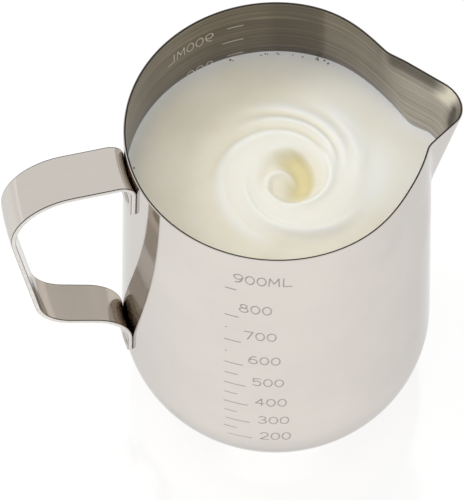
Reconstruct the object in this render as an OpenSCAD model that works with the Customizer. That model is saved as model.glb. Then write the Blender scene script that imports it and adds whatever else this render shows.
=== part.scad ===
// Milk frothing pitcher: a drawn stainless steel jug with a pressed pouring spout and a spot-welded
// strap handle. It stands on the XY plane with the middle of its base at the origin, +Z up. The spout
// points along +X and the handle along -X. All lengths are in millimetres.

/* [Jug] */
// Height of the rim above the table
jug_height = 141; // [125:1:160]
// Outside diameter at the rim
rim_d = 94.8; // [90:0.2:98]
// Outside diameter at the belly, the widest place
belly_d = 104.2; // [100:0.2:108]
// Height of the widest place
belly_z = 32; // [28:1:40]
// Radius of the belly's curve, seen from the side
belly_curve = 37.5; // [34:0.5:42]
// Lean of the wall below the belly, from upright
foot_lean = 33; // [28:1:36]
// Radius of the corner between wall and base
base_corner = 4; // [2:0.5:6]
// Thickness of the sheet metal
wall = 0.8; // [0.6:0.1:1.2]

/* [Spout] */
// Reach of the spout's tip from the jug's axis
spout_reach = 58.8; // [54:0.2:62]
// Drop of the spout's tip below the rim
spout_drop = 5.5; // [2:0.5:8]
// Lean of the spout's nose from upright
spout_lean = 16; // [12:1:20]
// Angle of each flank of the spout from the pouring direction, seen from above
spout_flank = 39; // [34:1:44]
// Radius of the spout's nose, seen from above
nose_r = 10; // [7:0.5:12]

/* [Handle] */
// Width of the strap at the upper arm
strap_w = 16.2; // [13:0.2:18]
// Width of the strap at the end of the lower tab
strap_low_w = 13.8; // [12.6:0.2:17]
// Thickness of the strap
strap_t = 1.5; // [1:0.1:1.8]
// Height of the upper arm's top face
arm_top = 140; // [137:0.5:141]
// Distance of the upper outer corner from the jug's axis, before it is rounded
grip_reach = 88.8; // [84:0.2:92]
// Lean of the grip from upright, towards the jug at the bottom
grip_lean = 6.8; // [4:0.1:9]
// Height of the lower outer corner, before it is rounded
low_corner_z = 67.5; // [66:0.5:72]
// Slope of the lower arm, falling towards the jug
low_arm_slope = 22.5; // [18:0.5:25]
// Radius of the bend from the upper tab to the upper arm, along the strap's middle line
upper_tab_r = 4.6; // [3:0.2:6]
// Radius of the upper outer corner
upper_bend_r = 19.5; // [14:0.5:22]
// Radius of the lower outer corner
lower_bend_r = 16.4; // [12:0.2:18]
// Radius of the bend from the lower arm to the lower tab
lower_tab_r = 17.5; // [14:0.5:19]
// Bottom edge of the upper tab
upper_tab_z = 123; // [119:0.5:125]
// Bottom edge of the lower tab
lower_tab_z = 36; // [35:0.5:37]
// Turn of the handle away from straight opposite the spout
handle_turn = 0.6; // [0:0.2:5]
// Sideways shift of the handle from the jug's axis, towards -Y
handle_shift = 2; // [0:0.2:4]

/* [Spot welds] */
// Diameter of a weld nugget
nugget_d = 4.4; // [3.5:0.1:5]
// Distance across the strap between the two nuggets of a pair
nugget_spread = 7.2; // [6:0.2:8]
// Dimple left by the electrode in the face of the tab
dimple = 0.15; // [0:0.05:0.3]
// Height of the upper pair
upper_nugget_z = 128.5; // [127:0.5:131]
// Height of the lower pair
lower_nugget_z = 39.5; // [39:0.5:41]

/* [Graduations] */
// Lowest marked volume in millilitres
first_mark = 200; // [100:50:300]
// Highest volume marked in each of the two rows
last_marks = [900, 950]; // [800:50:950]
// Length of the mark at a round hundred
long_mark = 7.4; // [5:0.2:9]
// Length of the mark at a fifty
short_mark = 4.2; // [3:0.2:5]
// Depth of the stamped marks
mark_depth = 0.2; // [0.1:0.05:0.3]
// Width of a stamped stroke
mark_width = 0.5; // [0.3:0.05:0.7]
// Angle of each row's left ends from the pouring direction
mark_angles = [-122, 90.5]; // [-130:0.5:130]

/* [Hidden] */
$fn = 120;
steel = "silver";
clear = 1;               // how far a cutting solid runs past the surface that it cuts
fit_gap = 0.03;          // the tabs lie this far off the wall, and the nuggets bridge it
rim_r = rim_d / 2;
belly_r = belly_d / 2;
belly_x = belly_r - belly_curve;
arc_steps = 14;
bend_r = [upper_tab_r, upper_bend_r, lower_bend_r, lower_tab_r];

// The wall above the belly is the straight line from the rim that touches the belly's curve.
rim_from_belly = [rim_r - belly_x, jug_height - belly_z];
wall_lean = atan2(rim_from_belly.y, rim_from_belly.x) - acos(belly_curve / norm(rim_from_belly));
foot_top = [belly_x + belly_curve * cos(foot_lean), belly_z - belly_curve * sin(foot_lean)];
base_flat_r = foot_top.x - (base_corner + (foot_top.y - base_corner) * sin(foot_lean)) / cos(foot_lean);

function polar(r, angle) = r * [cos(angle), sin(angle)];
function arc(centre, r, from, to) =
    [for (i = [0:arc_steps]) centre + polar(r, from + (to - from) * i / arc_steps)];

// Half section of the wall from the middle of the base to the rim, moved inwards by depth.
function wall_line(depth) = concat(
    [[0, depth]],
    arc([base_flat_r, base_corner], base_corner - depth, -90, -foot_lean),
    arc([belly_x, belly_z], belly_curve - depth, -foot_lean, wall_lean),
    [[rim_r - depth / cos(wall_lean), jug_height]]
);

// Outside radius of the straight wall at height z.
function wall_r(z) = rim_r + (jug_height - z) * tan(wall_lean);

// Height of the liquid's surface for a volume in millilitres, which rises faster as the jug narrows.
function mark_z(ml) = 15.3 + 7.73 * ml / 100 + 0.462 * pow(ml / 100, 2);

// ---------------------------------------------------------------- jug

module turned_solid(depth, above) {
    top = rim_r - depth / cos(wall_lean);
    rotate_extrude()
        polygon(concat(wall_line(depth), [[top, jug_height + above], [0, jug_height + above]]));
}

// Plan of the spout: two flanks that meet in a round nose whose front is at x = 0.
module spout_plan(depth) {
    flank = 34;
    r = nose_r - depth;
    side = [for (s = [-1, 1]) [-nose_r, 0] + r * [sin(spout_flank), s * cos(spout_flank)]];
    back = flank * [-cos(spout_flank), sin(spout_flank)];
    polygon(concat(
        [side[0] + [back.x, -back.y]],
        arc([-nose_r, 0], r, spout_flank - 90, 90 - spout_flank),
        [side[1] + back]
    ));
}

// The spout's channel, leaning outwards so that its nose meets the tip at the lip.
module spout_solid(depth, above) {
    below = 52;
    intersection() {
        translate([spout_reach, 0, jug_height - spout_drop])
            rotate([0, spout_lean, 0])
            translate([0, 0, -below])
            linear_extrude(below + 2 * above + 20)
            spout_plan(depth);
        translate([18, -40, jug_height - 80])
            cube([80, 80, 80 + above]);
    }
}

// What the sloping lip takes off above the spout.
module lip_cut() {
    start = rim_r - 2.5;
    slope = atan2(spout_drop, spout_reach - start);
    translate([start, -40, jug_height])
        rotate([0, slope, 0])
        cube([40, 80, 30]);
}

// One row of stamped marks, longer at each round hundred. They run to the right of the row's angle.
module graduations(angle, last_mark) {
    for (ml = [first_mark:50:last_mark]) {
        length = ml % 100 == 0 ? long_mark : short_mark;
        z = mark_z(ml);
        half_turn = 90 * length / (PI * wall_r(z));
        rotate([0, 0, angle + half_turn])
            translate([wall_r(z), 0, z])
            cube([2 * mark_depth, length, mark_width], center = true);
    }
}

module cup_body() {
    color(steel)
    difference() {
        union() {
            turned_solid(0, 0);
            spout_solid(0, 0);
        }
        turned_solid(wall, clear);
        spout_solid(wall, clear);
        lip_cut();
        for (row = [0, 1])
            graduations(mark_angles[row], last_marks[row]);
    }
}

// ---------------------------------------------------------------- handle

// Corners of the strap's middle line as [distance from the axis, height], from the upper tab down.
function tab_x(z) = wall_r(z) + fit_gap + strap_t / 2 / cos(wall_lean);
function grip_x(z) = grip_reach - (arm_z - z) * tan(grip_lean);
arm_z = arm_top - strap_t / 2;
low_corner = [grip_x(low_corner_z), low_corner_z];
low_tab_top = low_corner.y - (low_corner.x - tab_x(low_corner_z - 13)) * tan(low_arm_slope);
corners = [
    [tab_x(upper_tab_z), upper_tab_z],
    [tab_x(arm_z), arm_z],
    [grip_reach, arm_z],
    low_corner,
    [tab_x(low_tab_top), low_tab_top],
    [tab_x(lower_tab_z), lower_tab_z]
];

function heading(i) = let (d = corners[i + 1] - corners[i]) atan2(d.y, d.x);
function wrapped(angle) = angle > 180 ? angle - 360 : angle < -180 ? angle + 360 : angle;
function turn_at(i) = wrapped(heading(i) - heading(i - 1));
function tangent_at(i) = i == 0 || i == len(corners) - 1 ? 0 : bend_r[i - 1] * tan(abs(turn_at(i)) / 2);

// Bend at corner i, for the face that lies offset to the left of the strap's middle line.
function bend(i, offset) = let (
    side = turn_at(i) > 0 ? 1 : -1,
    from = heading(i - 1) - 90 * side,
    start = corners[i] - polar(tangent_at(i), heading(i - 1))
) arc(start - polar(bend_r[i - 1], from), bend_r[i - 1] - side * offset, from, from + turn_at(i));

// One face of the strap, from the end of the upper tab to the end of the lower one.
function strap_face(offset) = let (last = len(corners) - 1) concat(
    [corners[0] + polar(offset, heading(0) + 90)],
    [for (i = [1:last - 1]) each bend(i, offset)],
    [corners[last] + polar(offset, heading(last - 1) + 90)]
);

function reversed(points) = [for (i = [len(points) - 1:-1:0]) points[i]];

// Stands its children behind the jug, with +X pointing outwards through the handle.
module behind_jug() {
    rotate([0, 0, 180 + handle_turn])
        children();
}

// What the strap's two long edges keep of the turned profile. It tapers downwards.
module strap_outline() {
    ends = [[strap_low_w / 2, lower_tab_z - clear], [strap_w / 2, arm_top + clear]];
    translate([rim_r / 2, handle_shift, 0])
        rotate([90, 0, 90])
        linear_extrude(2 * rim_r)
        polygon([ends[0], ends[1], [-ends[1].x, ends[1].y], [-ends[0].x, ends[0].y]]);
}

// One upright pair of pins through a tab, from the given depth inside the wall's face to reach outside it.
module pins(z, depth, reach) {
    middle = asin(handle_shift / wall_r(z));
    half = asin(nugget_spread / 2 / wall_r(z));
    for (side = [-1, 1])
        rotate([0, 0, middle + side * half])
            translate([wall_r(z) - depth, 0, z])
            rotate([0, 90, 0])
            cylinder(h = depth + reach, d = nugget_d);
}

// The profile is turned about the jug's axis, so that both tabs follow the round wall.
module handle_strap() {
    color(steel)
    behind_jug()
    difference() {
        intersection() {
            rotate_extrude()
                polygon(concat(strap_face(strap_t / 2), reversed(strap_face(-strap_t / 2))));
            strap_outline();
        }
        pins(upper_nugget_z, clear, 3 * clear);
        pins(lower_nugget_z, clear, 3 * clear);
    }
}

// Nuggets fill the bores from the jug's wall to the bottom of the dimples.
module weld_nuggets(z) {
    color("gray")
    difference() {
        behind_jug()
            pins(z, clear, fit_gap + strap_t - dimple);
        turned_solid(0, 0);
    }
}

module upper_weld_nuggets() {
    weld_nuggets(upper_nugget_z);
}

module lower_weld_nuggets() {
    weld_nuggets(lower_nugget_z);
}

cup_body();
handle_strap();
upper_weld_nuggets();
lower_weld_nuggets();
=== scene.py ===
import math

import bpy
import numpy as np
from mathutils import Matrix, Vector


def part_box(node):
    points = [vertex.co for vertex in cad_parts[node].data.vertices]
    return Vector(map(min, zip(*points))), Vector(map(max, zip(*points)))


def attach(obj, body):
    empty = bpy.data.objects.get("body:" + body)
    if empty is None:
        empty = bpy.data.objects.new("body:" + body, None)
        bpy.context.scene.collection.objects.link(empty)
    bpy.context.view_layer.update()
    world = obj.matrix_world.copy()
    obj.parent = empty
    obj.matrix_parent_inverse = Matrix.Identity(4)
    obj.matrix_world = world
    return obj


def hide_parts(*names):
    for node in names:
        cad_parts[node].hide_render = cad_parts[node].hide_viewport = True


# Visual model of a stainless steel frothing pitcher full of frothed milk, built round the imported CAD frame.
# The frame: +Z up, origin in the middle of the base, spout along +X, handle towards -X.
# Shapes are worked out in millimetres and written to Blender in metres.

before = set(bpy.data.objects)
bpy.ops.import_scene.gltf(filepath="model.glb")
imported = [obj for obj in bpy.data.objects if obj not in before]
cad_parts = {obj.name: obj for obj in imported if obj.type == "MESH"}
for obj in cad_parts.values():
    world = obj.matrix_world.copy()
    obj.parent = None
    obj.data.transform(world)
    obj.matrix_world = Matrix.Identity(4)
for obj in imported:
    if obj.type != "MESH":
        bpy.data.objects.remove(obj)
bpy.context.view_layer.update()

MM = 0.001
TAU = 2 * math.pi

# Jug. The height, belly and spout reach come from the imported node; the rest are the design's own dimensions.
jug_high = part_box("cup_body")[1]
HEIGHT = jug_high.z / MM
BELLY_R = jug_high.y / MM
SPOUT_REACH = jug_high.x / MM
RIM_R = 47.4
BELLY_Z = 32.0
BELLY_CURVE = 37.5
FOOT_LEAN = math.radians(33)
BASE_CORNER = 4.0
WALL = 0.8
RIM_ROUND = 0.25
MILK_LEVEL = 112.5
# Inside the jug, fine rows and stamped marks are made down to DETAIL_Z, and coarse rows from COARSE_Z.
DETAIL_Z = 110.0
COARSE_Z = 108.0

# Spout: it grows out of the wall above SPOUT_FOOT. From LIP_START, a distance from the axis, its lip slopes
# down to the tip, which lies SPOUT_DROP below the rim.
SPOUT_FOOT = 95.5
SPOUT_DROP = 5.5
LIP_START = 43.0
FLANK = math.radians(39.4)
NOSE_R = 9.8
# At each root of the spout the wall is drawn in: the side (1 far, -1 near), the depth in millimetres, and
# the angle and spread in radians.
ROOTS = ((1, 2.8, 0.475, 0.40), (-1, 1.25, 0.72, 0.34))

# Strap handle, in its own plane: distance from the jug's axis and height.
STRAP_W = 16.2
STRAP_LOW_W = 13.8
STRAP_T = 1.5
STRAP_EDGE = 0.45
ARM_TOP = 140.0
GRIP_REACH = 88.8
GRIP_LEAN = math.radians(6.8)
LOW_CORNER_Z = 67.5
LOW_ARM_SLOPE = math.radians(22.5)
BEND_R = (4.6, 19.5, 16.4, 17.5)
TAB_Z = (123.0, 36.0)
TAB_CORNER = 1.0
FIT_GAP = 0.03
HANDLE_ANGLE = math.radians(180.6)
HANDLE_SHIFT = 2.0
WELD_SPREAD = 7.2
WELD_Z = {"upper_weld_nuggets": 128.5, "lower_weld_nuggets": 39.5}

# Volume scale: two rows of stamped marks and digits. Each row runs to the right of its angle.
FRONT_ROW = math.radians(-122)
BACK_ROW = math.radians(90.5)
STROKE = 0.38
STAMP_DEPTH = 0.16
DIGIT_W = 2.7
DIGIT_H = 4.4
DIGIT_PITCH = 3.6
# A cell of the jug's mesh that a stroke crosses is divided into FINE by FINE.
FINE = 6


# ---------------------------------------------------------------- meshes

def new_object(name, verts, faces, materials, indices=None, normals=None, attributes=None):
    """A smooth mesh object from points in millimetres. Normals are one to a vertex."""
    mesh = bpy.data.meshes.new(name)
    mesh.from_pydata((np.asarray(verts, float) * MM).tolist(), [], faces)
    for material in materials:
        mesh.materials.append(material)
    mesh.polygons.foreach_set("use_smooth", [True] * len(mesh.polygons))
    if indices is not None:
        mesh.polygons.foreach_set("material_index", indices)
    for key, values in (attributes or {}).items():
        values = np.asarray(values, np.float32)
        kind = "FLOAT" if values.ndim == 1 else "FLOAT_VECTOR"
        layer = mesh.attributes.new(key, kind, "POINT")
        layer.data.foreach_set("value" if values.ndim == 1 else "vector", values.ravel())
    if normals is not None:
        mesh.normals_split_custom_set_from_vertices(np.asarray(normals, float).tolist())
    mesh.update()
    obj = bpy.data.objects.new(name, mesh)
    bpy.context.scene.collection.objects.link(obj)
    return obj


def unit(v):
    return v / np.maximum(np.linalg.norm(v, axis=-1, keepdims=True), 1e-12)


def smooth_step(low, high, x):
    t = np.clip((x - low) / (high - low), 0, 1)
    return t * t * (3 - 2 * t)


def smooth_max(a, b, k):
    return (a + b + np.sqrt((a - b) ** 2 + k * k)) / 2


# ---------------------------------------------------------------- the jug's surface

BELLY_X = BELLY_R - BELLY_CURVE
WALL_LEAN = (math.atan2(HEIGHT - BELLY_Z, RIM_R - BELLY_X)
             - math.acos(BELLY_CURVE / math.hypot(HEIGHT - BELLY_Z, RIM_R - BELLY_X)))
FOOT_TOP = (BELLY_X + BELLY_CURVE * math.cos(FOOT_LEAN), BELLY_Z - BELLY_CURVE * math.sin(FOOT_LEAN))
CORNER_REACH = BASE_CORNER + (FOOT_TOP[1] - BASE_CORNER) * math.sin(FOOT_LEAN)
BASE_FLAT_R = FOOT_TOP[0] - CORNER_REACH / math.cos(FOOT_LEAN)
FOOT_LOW = (BASE_FLAT_R + BASE_CORNER * math.cos(FOOT_LEAN), BASE_CORNER * (1 - math.sin(FOOT_LEAN)))
WALL_LOW = (BELLY_X + BELLY_CURVE * math.cos(WALL_LEAN), BELLY_Z + BELLY_CURVE * math.sin(WALL_LEAN))

# Where each stretch of the wall's outline begins, in millimetres along it from the middle of the base.
S_CORNER = BASE_FLAT_R
S_FOOT = S_CORNER + BASE_CORNER * (math.pi / 2 - FOOT_LEAN)
S_BELLY = S_FOOT + math.dist(FOOT_LOW, FOOT_TOP)
S_WALL = S_BELLY + BELLY_CURVE * (FOOT_LEAN + WALL_LEAN)
S_RIM = S_WALL + (HEIGHT - WALL_LOW[1]) / math.cos(WALL_LEAN)


def wall_r(z):
    """Outside radius of the straight wall at height z."""
    return RIM_R + (HEIGHT - z) * math.tan(WALL_LEAN)


def meridian(s):
    """Radius and height of the round wall's outside, s along its outline."""
    corner = (s - S_CORNER) / BASE_CORNER - math.pi / 2
    belly = (s - S_BELLY) / BELLY_CURVE - FOOT_LEAN
    stretches = [s < S_CORNER, s < S_FOOT, s < S_BELLY, s < S_WALL]
    r = np.select(stretches, [
        s,
        BASE_FLAT_R + BASE_CORNER * np.cos(corner),
        FOOT_LOW[0] + (s - S_FOOT) * math.sin(FOOT_LEAN),
        BELLY_X + BELLY_CURVE * np.cos(belly),
    ], WALL_LOW[0] - (s - S_WALL) * math.sin(WALL_LEAN))
    z = np.select(stretches, [
        0 * s,
        BASE_CORNER * (1 + np.sin(corner)),
        FOOT_LOW[1] + (s - S_FOOT) * math.cos(FOOT_LEAN),
        BELLY_Z + BELLY_CURVE * np.sin(belly),
    ], WALL_LOW[1] + (s - S_WALL) * math.cos(WALL_LEAN))
    return r, z


def s_at(z):
    """Place along the outline of a height on the straight wall."""
    return S_WALL + (z - WALL_LOW[1]) / math.cos(WALL_LEAN)


def spout_line(theta, tip):
    """Plan of the spout, distance from the axis: a round nose at tip, and a straight flank on each side."""
    theta = np.abs(theta)
    centre = tip - NOSE_R
    nose = centre * np.cos(theta) + np.sqrt(np.maximum(NOSE_R ** 2 - (centre * np.sin(theta)) ** 2, 0))
    flank = (centre * math.sin(FLANK) + NOSE_R) / np.maximum(np.sin(theta + FLANK), 0.2)
    on_nose = centre * np.sin(theta) < NOSE_R * np.cos(theta + FLANK)
    return np.where(on_nose, nose, flank) - 60 * np.maximum(theta - 0.45, 0) ** 2


def outer(theta, s):
    """Point on the outside of the jug, spout included."""
    theta = (theta + math.pi) % TAU - math.pi
    r, z = meridian(s)
    t = np.clip((z - SPOUT_FOOT) / (HEIGHT - SPOUT_FOOT), 0, 1)
    lip_x = smooth_max(RIM_R, spout_line(theta, SPOUT_REACH), 0.5) * np.cos(theta)
    dip = smooth_max(0, (lip_x - LIP_START) / (SPOUT_REACH - LIP_START), 0.08)
    z = z - SPOUT_DROP * dip * t
    wall = np.where(t > 0, wall_r(z), r)
    swell = SPOUT_REACH - wall_r(HEIGHT - SPOUT_DROP)
    reach = wall + swell * t
    pinch = 0
    for side, amount, angle, spread in ROOTS:
        root = amount * np.exp(-(((side * theta - angle) / spread) ** 2))
        pinch += root * smooth_step(0, 0.25, side * theta) * smooth_step(0, 0.6, t)
    blend = t * (0.5 + 2.2 * (1 - t))
    spout = smooth_max(wall - pinch, spout_line(theta, reach), np.maximum(blend, 1e-6))
    r = np.where(t > 0, spout, r)
    return np.stack([r * np.cos(theta), r * np.sin(theta), z], -1)


def shell(theta, s):
    """Point, outward normal and upward tangent of the jug's outside."""
    step = 2e-3
    across = outer(theta + step / 40, s) - outer(theta - step / 40, s)
    up = outer(theta, s + step) - outer(theta, s - step)
    normal = unit(np.cross(across, up))
    flat = s < S_CORNER
    normal[flat] = (0, 0, -1)
    return outer(theta, s), normal, unit(up)


def inner_radius(theta, z):
    """Distance from the axis to the middle of the metal at height z above the belly, spout included."""
    s = np.full_like(theta, s_at(z))
    for _ in range(4):
        p, n, up = shell(theta, s)
        s = s - (p[:, 2] - z) / up[:, 2]
    p, n, up = shell(theta, s)
    return np.hypot(p[:, 0], p[:, 1]) - WALL


# ---------------------------------------------------------------- the volume scale

def mark_z(ml):
    """Height of the mark for a volume in millilitres."""
    hundreds = ml / 100
    return 15.3 + 7.73 * hundreds + 0.462 * hundreds ** 2


def digits_z(ml):
    """Height of the middle of a mark's digits, which climb away from their marks towards the top."""
    step = (ml - 200) / 100
    return mark_z(ml) + 2.1 + 0.35 * step + 0.045 * step ** 2


def curve(cx, cy, rx, ry, start, end):
    """Points along part of an ellipse, from one angle in degrees to another."""
    count = max(4, round(abs(end - start) / 24) + 1)
    angles = np.radians(np.linspace(start, end, count))
    return [(cx + rx * math.cos(a), cy + ry * math.sin(a)) for a in angles]


# Each digit is a few strokes in a box that is one wide and one high. The letters are a little wider.
GLYPHS = {
    "0": [curve(0.5, 0.5, 0.5, 0.5, 0, 360)],
    "2": [curve(0.5, 0.7, 0.45, 0.3, 165, -45) + [(0.02, 0), (1, 0)]],
    "3": [curve(0.48, 0.76, 0.42, 0.24, 150, -90), curve(0.48, 0.27, 0.5, 0.27, 90, -150)],
    "4": [[(0.72, 0), (0.72, 1), (0, 0.32), (1, 0.32)]],
    "5": [[(0.92, 1), (0.14, 1), (0.08, 0.55)] + curve(0.5, 0.33, 0.48, 0.33, 140, -145)],
    "6": [curve(0.5, 0.3, 0.5, 0.3, 0, 360), curve(0.72, 0.32, 0.72, 0.68, 180, 80)],
    "7": [[(0, 1), (1, 1), (0.38, 0)]],
    "8": [curve(0.5, 0.77, 0.38, 0.23, 0, 360), curve(0.5, 0.27, 0.5, 0.27, 0, 360)],
    "9": [curve(0.5, 0.7, 0.5, 0.3, 0, 360), curve(0.28, 0.68, 0.72, 0.68, 0, -100)],
    "M": [[(0, 0), (0.08, 1), (0.58, 0.3), (1.08, 1), (1.16, 0)]],
    "L": [[(0.3, 1), (0.3, 0), (1.25, 0)]],
}


def writing(text, left, middle):
    """Strokes of a line of digits, with its left end and the height of its middle."""
    return [
        [(left + k * DIGIT_PITCH + x * DIGIT_W, middle + (y - 0.5) * DIGIT_H) for x, y in stroke]
        for k, letter in enumerate(text)
        for stroke in GLYPHS[letter]
    ]


def volume_label(ml):
    """The digits at a mark, with the unit after the topmost."""
    return f"{ml}ML" if ml == 900 else str(ml)


def front_scale():
    """The near row: the die bit less towards the top, where the marks get short and the fifties fade out."""
    strokes = []
    for ml in range(200, 901, 50):
        step = (ml - 200) / 100
        z = mark_z(ml)
        if ml % 100:
            left, right = 0.2, 4.2 if ml < 600 else 0.5
        else:
            left, right = max(0.0, 1.6 - 0.9 * step), 9.5 - 0.89 * step
            strokes += writing(volume_label(ml), 12.3 - 0.75 * step - 0.09 * step ** 2, digits_z(ml))
        if ml != 850:
            strokes.append([(left, z), (right, z)])
    return strokes


def back_scale():
    """The far row, stamped evenly."""
    strokes = []
    for ml in range(200, 951, 50):
        z = mark_z(ml)
        if ml % 100:
            strokes.append([(0, z), (5.2, z)])
        else:
            strokes.append([(0, z), (7.0, z)])
            strokes += writing(volume_label(ml), 10.3, digits_z(ml))
    return strokes


def stroke_distance(strokes, u, v):
    """Distance from each point to the nearest stroke."""
    best = np.full(u.shape, 1e3)
    for line in strokes:
        for (ax, ay), (bx, by) in zip(line, line[1:]):
            dx, dy = bx - ax, by - ay
            t = np.clip(((u - ax) * dx + (v - ay) * dy) / (dx * dx + dy * dy + 1e-9), 0, 1)
            best = np.minimum(best, np.hypot(u - ax - t * dx, v - ay - t * dy))
    return best


SCALES = ((FRONT_ROW, front_scale()), (BACK_ROW, back_scale()))


def scale_distance(theta, s):
    """Distance to the nearest stroke of either row, measured along the wall."""
    r, z = meridian(s)
    best = np.full(theta.shape, 1e3)
    for angle, strokes in SCALES:
        u = ((theta - angle + math.pi) % TAU - math.pi) * r
        near = (u > -2) & (u < 31) & (z > 28) & (z < 136)
        if near.any():
            best[near] = np.minimum(best[near], stroke_distance(strokes, u[near], z[near]))
    return best


def stamp(theta, s):
    """How deep the die bit, from 0 to 1."""
    return 0.5 + 0.5 * np.cos(math.pi * np.clip(scale_distance(theta, s) / STROKE, 0, 1))


# ---------------------------------------------------------------- the jug's mesh

def jug_columns():
    """Angles of the mesh's columns, close together at the spout and at its roots."""
    fine_half = np.concatenate([np.arange(0, 15, 1.0), np.arange(15, 27, 0.6), np.arange(27, 37, 1.0)])
    rest = np.linspace(37, 180, 76)
    half = np.concatenate([fine_half, rest])
    return np.radians(np.concatenate([half, -half[1:-1][::-1]])) % TAU


def jug_rows():
    """Rows of the mesh from the middle of the outer base over the rim to the middle of the inner base.
    Each is a place along the outline, a depth into the metal, the angle that the surface has turned
    from outwards, and the material of the band above it: 0 polished, 1 rim edge, painted dark as a painted
    reflection, 2 brushed."""
    base = [2.0, 12.0, 24.0, 32.0, BASE_FLAT_R - 0.01]
    corner = list(np.linspace(S_CORNER + 0.01, S_FOOT, 7))
    foot = list(np.linspace(S_FOOT, s_at(HEIGHT - 2), 92))[1:]
    outside = base + corner + foot + [S_RIM - 1.0]
    rows = [(s, 0.0, 0.0, 0) for s in outside]
    turns = [(0, 0), (1 / 6, 0), (1 / 3, 0), (1 / 2, 1), (1 / 2, 1), (2 / 3, 1), (5 / 6, 2), (1, 2)]
    for k, (turn, material) in enumerate(turns):
        angle = turn * math.pi
        side = WALL - RIM_ROUND if k > 3 else RIM_ROUND
        depth = side - RIM_ROUND * math.cos(angle)
        rows.append((S_RIM - RIM_ROUND * (1 - math.sin(angle)), depth, angle, material))
    top = [S_RIM - 1.0] + list(np.linspace(s_at(HEIGHT - 2), s_at(DETAIL_Z), 20))
    deep = list(np.linspace(s_at(COARSE_Z), S_FOOT, 26))
    inside = top + deep + corner[:-1][::-1] + base[::-1]
    return rows + [(s, WALL, math.pi, 2) for s in inside]


def refined_cells(columns, rows):
    """Marks the mesh's cells that a stroke crosses: all on the outside, and above the milk on the inside."""
    s = np.array([row[0] for row in rows])
    depth = np.array([row[1] for row in rows])
    middle_theta = columns + ((np.roll(columns, -1) - columns) % TAU) / 2
    middle_s = (s[:-1] + s[1:]) / 2
    grid_s, grid_theta = np.meshgrid(middle_s, middle_theta, indexing="ij")
    near = scale_distance(grid_theta, grid_s) < STROKE + 1.25
    flat = depth[:-1] == depth[1:]
    shown = flat & ((depth[:-1] == 0) | (middle_s > s_at(DETAIL_Z)))
    return near & shown[:, None]


def sheen(theta, s):
    """Painted reflections of the inside, below 0 where they are painted dark and above 0 where they are
    painted
    bright: a dark stripe down the far wall with a lighter one beside it, and dark and bright spots in the
    spout."""
    below = S_RIM - s
    angle = np.degrees(theta)
    # A painted dark reflection down the far wall, with a painted lighter one beside it.
    stripe = smooth_step(58, 61, angle) * smooth_step(84, 76, angle)
    beside = smooth_step(34, 42, angle) * smooth_step(60, 57, angle)
    # Painted dark and bright reflections in the spout's channel: under the lip, along the crease, at the nose
    # and at the fold.
    lip = smooth_step(7.0, 3.0, below) * smooth_step(5, 8, angle) * smooth_step(29, 24, angle)
    crease_dark_reflection = np.exp(-(((angle - 0.6 - 0.22 * (8 - below)) / 2.7) ** 2))
    crease_dark_reflection *= smooth_step(2.5, 5.5, below) * smooth_step(19, 12, below)
    nose = np.exp(-(((angle - 5.5) / 3.6) ** 4)) * smooth_step(10, 6, below)
    fold_dark_reflection = np.exp(-(((angle - 31) / 2.4) ** 2)) * smooth_step(14, 4, below)
    return 1.15 * nose - 0.85 * lip - 1.3 * crease_dark_reflection - 0.3 * fold_dark_reflection - 0.42 * stripe + 0.07 * beside


def jug_faces(fine, rows):
    """Faces of the wall and the material of each. A vertex is known by its column and row, counted in steps
    of 1 / FINE of a cell: index gives its number, and keys lists the columns and rows in order."""
    n, m = fine.shape[1], len(rows)
    index, keys = {}, []

    def vertex(i, j):
        key = (i % (n * FINE), j)
        if key not in index:
            index[key] = len(keys)
            keys.append(key)
        return index[key]

    faces, bands = [], []
    for j in range(m - 1):
        for i in range(n):
            left, low = i * FINE, j * FINE
            if fine[j, i]:
                for b in range(FINE):
                    for a in range(FINE):
                        x, y = left + a, low + b
                        faces.append([vertex(x, y), vertex(x + 1, y), vertex(x + 1, y + 1), vertex(x, y + 1)])
                        bands.append(rows[j][3])
                continue
            # A plain cell also takes in the small steps along any side that it shares with a refined cell.
            below, above = j > 0 and fine[j - 1, i], j < m - 2 and fine[j + 1, i]
            after, before = fine[j, (i + 1) % n], fine[j, i - 1]
            loop = [(left + a, low) for a in range(0, FINE, 1 if below else FINE)]
            loop += [(left + FINE, low + b) for b in range(0, FINE, 1 if after else FINE)]
            loop += [(left + a, low + FINE) for a in range(FINE, 0, -1 if above else -FINE)]
            loop += [(left, low + b) for b in range(FINE, 0, -1 if before else -FINE)]
            faces.append([vertex(*corner) for corner in loop])
            bands.append(rows[j][3])
    return index, np.array(keys), faces, bands


def stamp_slopes(theta, s, live):
    """How fast the stamp deepens up the wall and round it, at the live points and 0 elsewhere."""
    step = 0.06

    def slope(d_theta, d_s):
        ahead = stamp(theta[live] + d_theta, s[live] + d_s)
        behind = stamp(theta[live] - d_theta, s[live] - d_s)
        return (ahead - behind) / (2 * step)

    up, around = np.zeros(len(s)), np.zeros(len(s))
    up[live] = slope(0, step)
    around[live] = slope(step / meridian(s[live])[0], 0)
    return up, around


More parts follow.
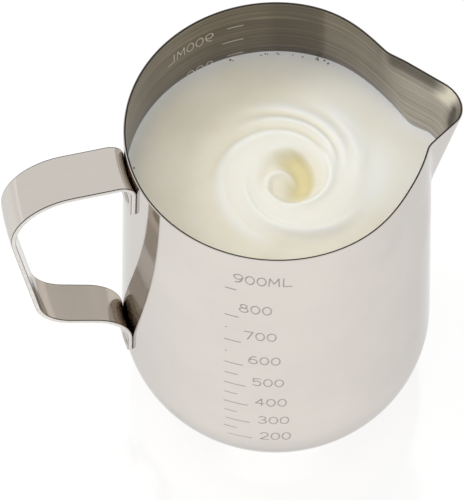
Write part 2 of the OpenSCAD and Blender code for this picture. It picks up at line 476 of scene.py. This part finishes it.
def jug_mesh(materials):
    """The jug: its outside, rim and inside in one closed mesh, with the marks pressed into it."""
    columns, rows = jug_columns(), jug_rows()
    n, m = len(columns), len(rows)
    index, keys, faces, bands = jug_faces(refined_cells(columns, rows), rows)
    i, a = keys[:, 0] // FINE, (keys[:, 0] % FINE) / FINE
    theta = columns[i] + ((columns[(i + 1) % n] - columns[i]) % TAU) * a
    table = np.array([row[:3] for row in rows])
    j = np.minimum(keys[:, 1] // FINE, m - 2)
    b = (keys[:, 1] / FINE - j)[:, None]
    s, depth, turn = (table[j] * (1 - b) + table[j + 1] * b).T
    point, normal, up = shell(theta, s)
    around = np.cross(up, normal)

    on_sides = (turn == 0) | ((turn == math.pi) & (s > s_at(DETAIL_Z)))
    relief = np.where(on_sides, stamp(theta, s), 0)
    live = on_sides & (scale_distance(theta, s) < STROKE + 0.3)
    slope_up, slope_around = stamp_slopes(theta, s, live)
    verts = point - (depth + STAMP_DEPTH * relief)[:, None] * normal
    facing = np.cos(turn)[:, None] * normal + np.sin(turn)[:, None] * up
    tilt = STAMP_DEPTH * (slope_up[:, None] * up - slope_around[:, None] * around)
    facing = unit(facing + np.cos(turn)[:, None] * tilt)

    # The middle of the base is closed with a fan on each side: the outer one faces down, the inner one up.
    for row, z, facing_z in ((0, 0.0, -1.0), (m - 1, WALL, 1.0)):
        ring = [index[(k * FINE, row * FINE)] for k in range(n)]
        centre = len(verts)
        verts = np.vstack([verts, [0, 0, z]])
        facing = np.vstack([facing, [0, 0, facing_z]])
        theta, s, relief = np.append(theta, 0), np.append(s, 0), np.append(relief, 0)
        for k in range(n):
            pair = [ring[k], ring[(k + 1) % n]]
            faces.append([centre] + (pair[::-1] if facing_z < 0 else pair))
            bands.append(0 if facing_z < 0 else 2)

    grain = np.stack([np.cos(theta) * RIM_R, np.sin(theta) * RIM_R, s], -1) * MM
    # The press that forms the spout burnishes its channel, and the channel is painted lighter still: a painted
    # reflection of the bright sky it faces.
    turned = (theta + math.pi) % TAU - math.pi
    burnish_and_highlight = np.exp(-((turned / 0.40) ** 4)) * smooth_step(s_at(SPOUT_FOOT - 2), s_at(SPOUT_FOOT + 12), s)
    # The inside also carries its painted dark and bright reflections.
    attributes = {"stamp": relief, "grain": grain, "burnish_and_highlight": burnish_and_highlight, "sheen": sheen(turned, s)}
    return new_object("cup_body_shell", verts, faces, materials, bands, facing, attributes)


# ---------------------------------------------------------------- the strap

def strap_corners():
    """Corners of the strap's middle line, before the bends, from the end of the upper tab down."""
    def tab_x(z):
        return wall_r(z) + FIT_GAP + STRAP_T / 2 / math.cos(WALL_LEAN)

    arm_z = ARM_TOP - STRAP_T / 2
    low_x = GRIP_REACH - (arm_z - LOW_CORNER_Z) * math.tan(GRIP_LEAN)
    low_tab_top = LOW_CORNER_Z - (low_x - tab_x(LOW_CORNER_Z - 13)) * math.tan(LOW_ARM_SLOPE)
    points = [(tab_x(TAB_Z[0]), TAB_Z[0]), (tab_x(arm_z), arm_z), (GRIP_REACH, arm_z),
              (low_x, LOW_CORNER_Z), (tab_x(low_tab_top), low_tab_top), (tab_x(TAB_Z[1]), TAB_Z[1])]
    return [np.array(p) for p in points]


def strap_path():
    """Points and headings along the middle line, with round bends and close steps at its two ends."""
    corners = strap_corners()
    legs = [b - a for a, b in zip(corners, corners[1:])]
    headings = [math.atan2(d[1], d[0]) for d in legs]
    points, angles = [], []

    def straight(a, b, heading, spots):
        for t in spots:
            points.append(a + (b - a) * t)
            angles.append(heading)

    start = corners[0]
    for k, radius in enumerate(BEND_R):
        turn = (headings[k + 1] - headings[k] + math.pi) % TAU - math.pi
        reach = radius * math.tan(abs(turn) / 2)
        way = legs[k] / np.linalg.norm(legs[k])
        bend_from = corners[k + 1] - reach * way
        straight(start, bend_from, headings[k], np.linspace(0, 1, 14)[:-1])
        side = 1 if turn > 0 else -1
        left = np.array([-way[1], way[0]])
        centre = bend_from + side * radius * left
        for a in np.linspace(0, turn, 22):
            heading = headings[k] + a
            points.append(centre + side * radius * np.array([math.sin(heading), -math.cos(heading)]))
            angles.append(heading)
        start = points.pop()
        angles.pop()
    straight(start, corners[-1], headings[-1], np.linspace(0, 1, 14))
    return np.array(points), np.array(angles)


def strap_section(half_w, half_t, radius):
    """Outline of the strap across its length: points, normals, and the material of the side that follows:
    0 polished, 1 deburred edge, 2 a dark line painted where the edge begins, a painted dark reflection."""
    points, normals, band = [], [], []
    steps, flat_steps = 5, 10
    for quarter, (sw, st) in enumerate(((1, 1), (-1, 1), (-1, -1), (1, -1))):
        for k in range(steps + 1):
            a = (quarter + k / steps) * math.pi / 2
            w = sw * (half_w - radius) + radius * math.cos(a)
            points.append((w, st * (half_t - radius) + radius * math.sin(a)))
            normals.append((math.cos(a), math.sin(a)))
        # A flat face follows the first and third corners, and a cut edge the other two.
        face_next = quarter % 2 == 0
        band += [0, 0, 0, 2, 2, 0] if face_next else [2, 2, 0, 0, 0, 1]
        if face_next:
            for k in range(1, flat_steps):
                points.append((sw * (half_w - radius) * (1 - 2 * k / flat_steps), st * half_t))
                normals.append((0.0, float(st)))
                band.append(0)
    return np.array(points), np.array(normals), band


def strap_mesh(materials):
    """The strap's profile turned about the jug's axis, so that both tabs follow the round wall."""
    points, headings = strap_path()
    lengths = np.concatenate([[0], np.cumsum(np.linalg.norm(np.diff(points, axis=0), axis=1))])
    total = lengths[-1]
    rounding = np.linspace(0.02, TAB_CORNER, 6)
    between = lengths[(lengths > TAB_CORNER) & (lengths < total - TAB_CORNER)]
    stations = np.sort(np.concatenate([rounding, between, total - rounding]))

    width = np.array([math.sin(HANDLE_ANGLE), -math.cos(HANDLE_ANGLE), 0])
    out = np.array([math.cos(HANDLE_ANGLE), math.sin(HANDLE_ANGLE), 0])
    up = np.array([0, 0, 1.0])
    verts, normals, faces, bands, grain = [], [], [], [], []
    for station in stations:
        x, z = np.interp(station, lengths, points[:, 0]), np.interp(station, lengths, points[:, 1])
        heading = np.interp(station, lengths, np.unwrap(headings))
        short = TAB_CORNER - min(station, total - station, TAB_CORNER)
        corner = TAB_CORNER - math.sqrt(max(TAB_CORNER ** 2 - short ** 2, 0.0))
        half_w = np.interp(z, (TAB_Z[1], ARM_TOP), (STRAP_LOW_W / 2, STRAP_W / 2)) - corner
        outline, facing, band = strap_section(half_w, STRAP_T / 2, STRAP_EDGE)
        for (w, t), (nw, nt) in zip(outline, facing):
            radius, side = x - t * math.sin(heading), w - HANDLE_SHIFT
            flat = math.sqrt(radius ** 2 - side ** 2) * out + side * width
            verts.append(flat + (z + t * math.cos(heading)) * up)
            across = -math.sin(heading) * flat / radius + math.cos(heading) * up
            normals.append(nw * width + nt * across)
            grain.append((w, t, station))
    count = len(outline)
    for k in range(len(stations) - 1):
        for q in range(count):
            a, b = k * count + q, k * count + (q + 1) % count
            faces.append([a, a + count, b + count, b])
            bands.append(band[q])

    # Both tabs end downwards. The end faces have points of their own, so that their edges are crisp.
    for first, forward in ((0, 1), ((len(stations) - 1) * count, -1)):
        ring = list(range(len(verts), len(verts) + count))
        verts += verts[first:first + count]
        grain += grain[first:first + count]
        normals += [-up] * count
        faces.append(ring[::forward])
        bands.append(1)
    return new_object("handle_strap_bent", verts, faces, materials, bands, normals,
                      {"grain": np.array(grain) * MM})


def weld_mesh(node, material):
    """Two electrode marks side by side on a tab: each is a raised ring round a shallow dimple."""
    profile = [(0, 0.02), (0.8, 0.02), (1.3, 0.03), (1.65, 0.08), (1.9, 0.11), (2.1, 0.08), (2.25, 0.02)]
    profile.append((2.3, -0.4))
    count = 48
    up = np.array([0, 0, 1.0])
    z = WELD_Z[node]
    face_r = wall_r(z) + FIT_GAP + STRAP_T / math.cos(WALL_LEAN)
    middle, half = math.asin(HANDLE_SHIFT / wall_r(z)), math.asin(WELD_SPREAD / 2 / wall_r(z))
    verts, faces = [], []
    for side in (-1, 1):
        angle = HANDLE_ANGLE + middle + side * half
        out = np.array([math.cos(angle), math.sin(angle), 0])
        width = np.array([math.sin(angle), -math.cos(angle), 0])
        along = up * math.cos(WALL_LEAN) - out * math.sin(WALL_LEAN)
        away = out * math.cos(WALL_LEAN) + up * math.sin(WALL_LEAN)
        centre = face_r * out + z * up
        first = len(verts)
        for r, h in profile:
            for k in range(count):
                a = TAU * k / count
                verts.append(centre + h * away + r * (math.cos(a) * width + math.sin(a) * along))
        for ring in range(len(profile) - 1):
            for k in range(count):
                a, b = first + ring * count + k, first + ring * count + (k + 1) % count
                faces.append([a + count, b + count, b, a] if ring else [a + count, b + count, first])
        faces.append([first + (len(profile) - 1) * count + k for k in range(count)][::-1])
    return new_object(node.replace("nuggets", "marks"), verts, faces, [material])


# ---------------------------------------------------------------- milk

SWIRL = np.array([4.8, -0.8])
# Spiral ridges round SWIRL: first and last angle in degrees, radius at the last angle in millimetres,
# growth per radian, half width and height. A groove has a negative height.
RIDGES = (
    (-175, -80, 11.6, 0.14, 2.0, 0.60),
    (-105, 45, 13.3, 0.105, 1.6, 0.80),
    (35, 160, 22.5, 0.27, 2.2, 0.70),
    (5, 118, 24.4, 0.27, 1.0, 0.75),
    (0, 108, 28.5, 0.27, 1.2, 0.65),
    (-15, 62, 28.6, 0.25, 1.8, 0.60),
    (-185, -45, 24.2, 0.19, 1.1, 0.60),
    (-200, -70, 19.4, 0.13, 2.4, 0.40),
    (140, 245, 25.4, 0.10, 1.3, 0.40),
    (-120, 20, 28.5, 0.22, 3.0, 0.20),
    (25, 165, 26.3, 0.28, 1.2, -0.45),
    (10, 110, 26.3, 0.28, 0.9, -0.25),
)


def froth(x, y):
    """Height of the milk over its level, and from 0 to 1 how white its foam and how deep its funnel is.
    The whiteness holds painted light towards the right and front.
    """
    dx, dy = x - SWIRL[0], y - SWIRL[1]
    r, phi = np.hypot(dx, dy) + 1e-6, np.degrees(np.arctan2(dy, dx))
    height, foam, shade = np.zeros_like(r), np.zeros_like(r), np.zeros_like(r)
    for first, last, r_last, growth, width, rise in RIDGES:
        for turn in (-360, 0, 360):
            a = phi + turn
            line = r_last * np.exp(growth * np.radians(a - last))
            fade = smooth_step(first - 12, first + 30, a) * (1 - smooth_step(last - 30, last + 14, a))
            breadth = width * np.clip(line / 16, 0.45, 1.5)
            gap = (r - line) / breadth
            # Each ridge is steep on its inner side and slopes gently outwards.
            gap = np.where(gap > 0, gap * 0.7, gap * 1.25)
            crest = np.exp(-gap * gap) * fade
            height += rise * crest
            if rise > 0:
                foam = np.maximum(foam, crest * min(1.0, 0.55 + rise * 0.55))
            else:
                shade += crest * (0.2 - rise)
    # The funnel bends round to the left at both ends, steep on its right and easing off on its left.
    gap = dx - 2.6 + 0.045 * (dy - 0.5) ** 2
    funnel = smooth_step(4.9, 2.2, gap) * np.exp(-((np.minimum(gap, 0) / 3.6) ** 2))
    funnel *= smooth_step(11.0, 5.0, np.abs(dy - 0.5))
    # A tongue of foam curls in over it.
    turn = (np.degrees(np.arctan2(dy + 1.5, dx + 4.0)) + 90) % 360
    along = smooth_step(62, 130, turn) * smooth_step(315, 260, turn)
    tongue = np.exp(-(((np.hypot(dx + 4.0, dy + 1.5) - 4.3) / 1.2) ** 2)) * along
    band = smooth_step(7.5, 12.0, r) * smooth_step(27, 19, r)
    height += 0.8 * band - 2.4 * funnel - 1.3 * np.exp(-((r / 9.0) ** 2)) + 0.9 * tongue
    # Painted light: the foam is made paler towards the right and front, where the light falls.
    painted_lit_side = 0.40 * smooth_step(8, 36, x + 0.4 * y)
    foam = np.maximum(np.maximum(foam, 0.62 * band) + painted_lit_side - shade, 0.8 * tongue)
    return height, np.clip(foam, 0, 1) * (1 - funnel), funnel * (1 - 0.8 * tongue)


def meniscus(gap):
    """How far the milk climbs, at a distance from the wall."""
    return 0.35 * np.exp(-gap / 0.7)


def milk_mesh(material):
    """The whole body of the milk: its swirled surface, and sides that lie just inside the jug's metal."""
    rings, count = 150, 320
    into_metal, middle_r = 0.15, 48
    theta = np.arange(count) * TAU / count
    edge = inner_radius(theta, MILK_LEVEL) + into_metal
    verts = [np.array([[0, 0, 0.0]])]
    for k in range(1, rings + 1):
        r = edge * k / rings
        verts.append(np.stack([r * np.cos(theta), r * np.sin(theta), np.zeros(count)], -1))
    verts = np.concatenate(verts)
    height, foam, deep = froth(verts[:, 0], verts[:, 1])
    share = np.concatenate([[0], np.repeat(np.arange(1, rings + 1) / rings, count)])
    wall_gap = (1 - share) * middle_r
    height *= smooth_step(0, 6, wall_gap)
    verts[:, 2] = MILK_LEVEL + height + meniscus(wall_gap)
    # Near the wall the milk is tinted bluish and painted lighter: partly its own colour, partly painted light
    # against the shade of the wall.
    wall_tint_and_light = np.exp(-wall_gap / 3.6)
    faces = [[0, 1 + k, 1 + (k + 1) % count] for k in range(count)]
    for ring in range(rings - 1):
        for k in range(count):
            a, b = 1 + ring * count + k, 1 + ring * count + (k + 1) % count
            faces.append([a, a + count, b + count, b])
    last = 1 + (rings - 1) * count
    for s in np.linspace(s_at(COARSE_Z), S_FOOT, 24):
        point, normal, up = shell(theta, np.full(count, s))
        verts = np.vstack([verts, point - (WALL - into_metal) * normal])
        for k in range(count):
            a, b = last + k, last + (k + 1) % count
            faces.append([a, a + count, b + count, b])
        last += count
    faces.append([last + k for k in range(count)][::-1])
    extra = len(verts) - len(foam)
    attributes = {"foam": foam, "deep": deep, "wall_tint_and_light": wall_tint_and_light}
    attributes = {key: np.append(values, np.zeros(extra)) for key, values in attributes.items()}
    return new_object("milk", verts, faces, [material], attributes=attributes)


def bubble_mesh(material):
    """Small bubbles that cling to the far edge of the milk."""
    rng = np.random.default_rng(11)
    spots = [(math.radians(a), g) for a, g in zip(rng.uniform(55, 98, 15), rng.uniform(0.5, 1.4, 15))]
    spots.append((math.radians(163), 2.6))
    theta = np.array([spot[0] for spot in spots])
    edge = inner_radius(theta, MILK_LEVEL)
    rings, count = 6, 14
    verts, faces = [], []
    for (angle, gap), wall, size in zip(spots, edge, rng.uniform(0.22, 0.42, len(spots))):
        first = len(verts)
        x, y = (wall - gap) * math.cos(angle), (wall - gap) * math.sin(angle)
        base = MILK_LEVEL + meniscus(gap) - 0.1
        verts.append((x, y, base + size))
        for k in range(1, rings + 1):
            lift, spread = size * math.cos(k * 0.32), size * math.sin(k * 0.32)
            for q in range(count):
                a = TAU * q / count
                verts.append((x + spread * math.cos(a), y + spread * math.sin(a), base + lift))
        for q in range(count):
            faces.append([first, first + 1 + q, first + 1 + (q + 1) % count])
        for k in range(rings - 1):
            for q in range(count):
                a, b = first + 1 + k * count + q, first + 1 + k * count + (q + 1) % count
                faces.append([a, a + count, b + count, b])
        faces.append([first + 1 + (rings - 1) * count + q for q in range(count)][::-1])
    return new_object("milk_bubbles", verts, faces, [material])


# ---------------------------------------------------------------- materials

class Shader:
    """A material with a Principled shader and short calls for adding and joining nodes."""

    def __init__(self, name, **values):
        self.material = bpy.data.materials.new(name)
        self.material.use_nodes = True
        self.nodes = self.material.node_tree.nodes
        self.surface = self.nodes["Principled BSDF"]
        for key, value in values.items():
            self.surface.inputs[key.replace("_", " ")].default_value = value

    def add(self, kind, inputs=None, **settings):
        node = self.nodes.new(kind)
        for key, value in settings.items():
            setattr(node, key, value)
        for key, value in (inputs or {}).items():
            node.inputs[key].default_value = value
        return node

    def link(self, source, target):
        self.material.node_tree.links.new(source, target)

    def coordinates(self, scale, attribute=None):
        """Object coordinates, or a vector kept on the mesh, stretched by scale."""
        mapping = self.add("ShaderNodeMapping", {"Scale": scale})
        if attribute:
            place = self.add("ShaderNodeAttribute", attribute_name=attribute).outputs["Vector"]
        else:
            place = self.add("ShaderNodeTexCoord").outputs["Object"]
        self.link(place, mapping.inputs[0])
        return mapping.outputs[0]

    def painted(self, attribute):
        """A number kept on the mesh's points."""
        return self.add("ShaderNodeAttribute", attribute_name=attribute).outputs["Fac"]

    def noise(self, vector, scale, detail=4.0, roughness=0.6):
        node = self.add("ShaderNodeTexNoise", {"Scale": scale, "Detail": detail, "Roughness": roughness})
        self.link(vector, node.inputs["Vector"])
        return node.outputs[0]

    def remap(self, value, low, high, to_low, to_high):
        ranges = {"From Min": low, "From Max": high, "To Min": to_low, "To Max": to_high}
        node = self.add("ShaderNodeMapRange", ranges)
        self.link(value, node.inputs[0])
        return node.outputs[0]

    def mix(self, factor, first, second, blend="MIX"):
        """Mixes two colours; each is a colour or a socket."""
        node = self.add("ShaderNodeMix", data_type="RGBA", blend_type=blend)
        colour_inputs = [socket for socket in node.inputs if socket.type == "RGBA"]
        for socket, value in zip([node.inputs[0]] + colour_inputs, (factor, first, second)):
            if isinstance(value, (int, float, tuple)):
                socket.default_value = value
            else:
                self.link(value, socket)
        return [socket for socket in node.outputs if socket.type == "RGBA"][0]

    def bump(self, height, distance):
        node = self.add("ShaderNodeBump", {"Strength": 1.0, "Distance": distance})
        self.link(height, node.inputs["Height"])
        self.link(node.outputs[0], self.surface.inputs["Normal"])


def grey(tint, level=1.0):
    return tuple(level * c for c in tint) + (1.0,)


STEEL = (0.700, 0.658, 0.612)
BRUSHED = (0.295, 0.264, 0.226)
# The spout's channel: partly burnished metal, partly a painted reflection of the bright sky it faces.
BURNISHED_HIGHLIGHT = (0.52, 0.485, 0.445)
# Nearly black steel: a painted dark reflection on the rim's top and along the strap's edges, and painted shade
# in the stamped strokes.
PAINTED_DARK = (0.050, 0.046, 0.042)
DEBURRED = (0.74, 0.72, 0.69)


def polished_steel():
    """Mirror polish over drawn sheet: a faint haze, slow waves, and stamped strokes, rougher and painted
    darker, a painted shade in their grooves.
    """
    m = Shader("jug_polished_steel", Metallic=1.0)
    m.surface.inputs["Specular Tint"].default_value = (0.76, 0.76, 0.76, 1)
    place = m.coordinates((1, 1, 1))
    haze = m.noise(place, 35, 5)
    tint = m.mix(m.remap(haze, 0.3, 0.7, 0, 1), grey(STEEL, 0.97), grey(STEEL, 1.03))
    stamped = m.painted("stamp")
    # The strokes are painted dark as well as roughened: painted shade in the stamped grooves.
    tint = m.mix(m.remap(stamped, 0.15, 0.85, 0, 0.55), tint, grey(PAINTED_DARK))
    m.link(tint, m.surface.inputs["Base Color"])
    rough = m.add("ShaderNodeMath", operation="ADD")
    m.link(m.remap(haze, 0.3, 0.7, 0.05, 0.10), rough.inputs[0])
    m.link(m.remap(stamped, 0, 1, 0, 0.3), rough.inputs[1])
    m.link(rough.outputs[0], m.surface.inputs["Roughness"])
    waves = m.noise(m.coordinates((1, 1, 0.35)), 28, 2, 0.5)
    m.bump(waves, 0.00006)
    return m.material


def brushed_steel():
    """The inside: brushed round and round, with long fine lines that run on into the spout."""
    m = Shader("jug_brushed_inside", Metallic=1.0)
    lines = m.noise(m.coordinates((9, 9, 2600), "grain"), 1.0, 6, 0.72)
    bands = m.noise(m.coordinates((26, 26, 3), "grain"), 1.0, 2, 0.5)
    streaks = m.noise(m.coordinates((16, 16, 700), "grain"), 1.0, 3, 0.6)
    tint = m.mix(m.remap(lines, 0.38, 0.62, 0, 1), grey(BRUSHED, 0.66), grey(BRUSHED, 1.36))
    # Soft darker bands round the wall: painted reflections, the banding that brushed metal shows.
    shaded = m.mix(1.0, tint, grey((1, 0.98, 0.95), 0.72), "MULTIPLY")
    tint = m.mix(m.remap(bands, 0.35, 0.65, 0, 1), tint, shaded)
    tint = m.mix(m.remap(streaks, 0.6, 0.72, 0, 0.5), tint, grey(BRUSHED, 1.7))
    # The spout's channel, burnished and painted lighter: a painted reflection of the sky.
    rubbed_highlight = m.mix(m.remap(lines, 0.42, 0.58, 0, 1), grey(BURNISHED_HIGHLIGHT, 0.74), grey(BURNISHED_HIGHLIGHT, 1.18))
    tint = m.mix(m.painted("burnish_and_highlight"), tint, rubbed_highlight)
    # Painted reflections: the inside is painted darker and brighter where it would mirror dark and bright
    # parts of the room.
    painted_spots = m.painted("sheen")
    tint = m.mix(m.remap(painted_spots, 0, -1, 0, 0.9), tint, grey(BRUSHED, 0.35))
    tint = m.mix(m.remap(painted_spots, 0, 1, 0, 0.9), tint, (0.96, 0.91, 0.81, 1))
    # Painted highlight: the raised marks inside are painted brighter than even the polished outside.
    tint = m.mix(m.remap(m.painted("stamp"), 0.25, 0.8, 0, 1), tint, grey(STEEL, 1.2))
    m.link(tint, m.surface.inputs["Base Color"])
    m.link(m.remap(lines, 0.3, 0.7, 0.26, 0.42), m.surface.inputs["Roughness"])
    m.bump(lines, 0.00002)
    return m.material


def edge_steel(name, tint):
    """Sheared edge of the sheet, with a fine even grain."""
    m = Shader(name, Metallic=1.0)
    grain = m.noise(m.coordinates((1, 1, 1)), 900, 3)
    colour = m.mix(m.remap(grain, 0.35, 0.65, 0, 1), grey(tint, 0.85), grey(tint, 1.15))
    m.link(colour, m.surface.inputs["Base Color"])
    m.link(m.remap(grain, 0.3, 0.7, 0.3, 0.5), m.surface.inputs["Roughness"])
    m.bump(grain, 0.00001)
    return m.material


def strap_steel():
    """Polished strip with a light grain along its length."""
    m = Shader("strap_polished_steel", Metallic=1.0)
    m.surface.inputs["Specular Tint"].default_value = (0.76, 0.76, 0.76, 1)
    grain = m.noise(m.coordinates((1500, 1500, 14), "grain"), 1.0, 4, 0.6)
    haze = m.noise(m.coordinates((1, 1, 1)), 60, 3)
    tint = m.mix(m.remap(grain, 0.3, 0.7, 0, 1), grey(STEEL, 0.98), grey(STEEL, 1.01))
    m.link(tint, m.surface.inputs["Base Color"])
    m.link(m.remap(haze, 0.3, 0.7, 0.09, 0.16), m.surface.inputs["Roughness"])
    m.bump(grain, 0.0000012)
    return m.material


def weld_metal():
    """Matt, slightly straw coloured metal of a resistance weld, mottled darker and lighter."""
    m = Shader("weld_metal", Metallic=1.0)
    mottle = m.noise(m.coordinates((1, 1, 1)), 700, 5)
    tint = m.mix(m.remap(mottle, 0.35, 0.65, 0, 1), (0.30, 0.26, 0.21, 1), (0.50, 0.47, 0.43, 1))
    m.link(tint, m.surface.inputs["Base Color"])
    m.link(m.remap(mottle, 0.3, 0.7, 0.28, 0.46), m.surface.inputs["Roughness"])
    m.bump(mottle, 0.00003)
    return m.material


def milk_material():
    """Frothed milk: white foam on the ridges, cream between, yellow in the funnel, bluish and painted lighter
    at the wall, partly its own colour and partly painted light, and foam painted paler towards the right and
    front, where the light falls.
    """
    m = Shader("frothed_milk", Roughness=0.3, Subsurface_Weight=0.25, Subsurface_Scale=0.002)
    m.surface.inputs["Subsurface Radius"].default_value = (1.0, 0.8, 0.5)
    m.surface.inputs["Specular IOR Level"].default_value = 0.4
    cloud = m.noise(m.coordinates((1, 1, 1)), 60, 3, 0.5)
    cream = m.mix(m.remap(cloud, 0.35, 0.65, 0, 1), (0.82, 0.775, 0.625, 1), (0.87, 0.83, 0.69, 1))
    tint = m.mix(m.painted("foam"), cream, (0.92, 0.925, 0.87, 1))
    tint = m.mix(m.painted("deep"), tint, (0.74, 0.655, 0.36, 1))
    # Bluish and lighter at the wall: partly the milk's own colour, partly painted light against the wall's
    # shade.
    tint = m.mix(m.remap(m.painted("wall_tint_and_light"), 0, 1, 0, 0.9), tint, (0.86, 0.88, 0.90, 1))
    m.link(tint, m.surface.inputs["Base Color"])
    fine = m.noise(m.coordinates((1, 1, 1)), 1400, 2)
    m.bump(fine, 0.000015)
    return m.material


def bubble_material():
    """Glossy film of a bubble, painted dark: a painted reflection of the jug's dark inside."""
    m = Shader("milk_bubble_film", Roughness=0.08)
    film = m.noise(m.coordinates((1, 1, 1)), 900, 2)
    tint = m.mix(m.remap(film, 0.35, 0.65, 0, 1), (0.16, 0.14, 0.11, 1), (0.34, 0.31, 0.26, 1))
    m.link(tint, m.surface.inputs["Base Color"])
    return m.material


def floor_material():
    """A pale table that glows round the jug, as paper on a light table does, with a faint gloss."""
    m = Shader("pale_floor", Roughness=0.10, IOR=2.3)
    m.surface.inputs["Emission Color"].default_value = (1, 1, 1, 1)
    place = m.coordinates((1, 1, 1))
    paper = m.remap(m.noise(place, 3, 2), 0.3, 0.7, 0, 1)
    m.link(m.mix(paper, (0.15, 0.15, 0.15, 1), (0.16, 0.16, 0.16, 1)), m.surface.inputs["Base Color"])
    across = m.add("ShaderNodeSeparateXYZ")
    m.link(place, across.inputs[0])
    away = m.add("ShaderNodeVectorMath", operation="LENGTH")
    m.link(place, away.inputs[0])
    glow = m.add("ShaderNodeMath", operation="ADD")
    # Painted light: the glow is a little stronger towards -X, the left, as if the studio lit it from there.
    m.link(m.remap(across.outputs[0], -0.12, 0.12, 0.03, -0.03), glow.inputs[0])
    m.link(m.remap(away.outputs["Value"], 0.15, 0.7, 0.77, 0.40), glow.inputs[1])
    m.link(glow.outputs[0], m.surface.inputs["Emission Strength"])
    return m.material


# ---------------------------------------------------------------- studio

def make_floor():
    """The table, a hair under the jug's base."""
    half = 3000
    corners = [(-half, -half, 0), (half, -half, 0), (half, half, 0), (-half, half, 0)]
    floor = new_object("floor", corners, [[0, 1, 2, 3]], [floor_material()])
    floor.location.z = -0.1 * MM


def area_light(name, place, target, size, power):
    """A softbox. It lights matt surfaces only, so that the steel mirrors nothing but the white studio."""
    data = bpy.data.lights.new(name, "AREA")
    data.shape = "RECTANGLE"
    data.size, data.size_y = size
    data.energy = power
    light = bpy.data.objects.new(name, data)
    light.location = place
    light.rotation_euler = (Vector(target) - Vector(place)).to_track_quat("-Z", "Y").to_euler()
    light.visible_glossy = False
    bpy.context.scene.collection.objects.link(light)


def studio():
    """A white room with two softboxes, and enough bounces for the dark gap between strap and jug."""
    world = bpy.data.worlds.new("white_studio")
    world.use_nodes = True
    background = world.node_tree.nodes["Background"]
    background.inputs["Color"].default_value = (1.0, 0.995, 0.985, 1)
    background.inputs["Strength"].default_value = 0.84
    bpy.context.scene.world = world
    middle = (0, 0, 0.08)
    area_light("key_softbox", (-0.75, 0.55, 1.15), middle, (0.5, 0.5), 4.6)
    area_light("top_softbox", (-0.1, -0.1, 1.5), middle, (0.6, 0.6), 3.0)
    scene = bpy.context.scene
    scene.cycles.max_bounces = 16
    scene.cycles.glossy_bounces = 14
    scene.view_settings.view_transform = "Standard"
    scene.view_settings.look = "None"


def camera():
    """A long lens that looks down steeply on the near marks, with the spout to the right."""
    azimuth, elevation, roll = math.radians(-11.81), math.radians(59.51), math.radians(-0.77)
    distance, target = 0.964, Vector((-0.01453, 0.00135, 0.0705))
    level_x = math.sin(azimuth) * math.cos(elevation)
    level_y = -math.cos(azimuth) * math.cos(elevation)
    back = Vector((level_x, level_y, math.sin(elevation)))
    level = (-back).cross(Vector((0, 0, 1))).normalized()
    above = level.cross(-back)
    right = math.cos(roll) * level + math.sin(roll) * above
    up = back.cross(right)
    data = bpy.data.cameras.new("camera")
    data.sensor_fit = "HORIZONTAL"
    data.sensor_width = 36
    data.lens = 228.7
    data.clip_start, data.clip_end = 0.05, 20
    cam = bpy.data.objects.new("camera", data)
    turned = Matrix((right, up, back)).transposed().to_4x4()
    cam.matrix_world = Matrix.Translation(target + distance * back) @ turned
    bpy.context.scene.collection.objects.link(cam)
    bpy.context.scene.camera = cam


# ---------------------------------------------------------------- putting it together

def main():
    camera()
    studio()
    make_floor()
    # The rim's top and the lines along the strap's edges are painted dark: a painted dark reflection.
    edge = edge_steel("steel_edge_painted_dark", PAINTED_DARK)

    jug = jug_mesh([polished_steel(), edge, brushed_steel()])
    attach(jug, "root")
    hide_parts("cup_body")

    strap = strap_mesh([strap_steel(), edge_steel("steel_deburred_edge", DEBURRED), edge])
    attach(strap, "root")
    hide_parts("handle_strap")

    weld = weld_metal()
    for node in WELD_Z:
        marks = weld_mesh(node, weld)
        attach(marks, "root")
        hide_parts(node)

    for piece in (milk_mesh(milk_material()), bubble_mesh(bubble_material())):
        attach(piece, "root")


main()
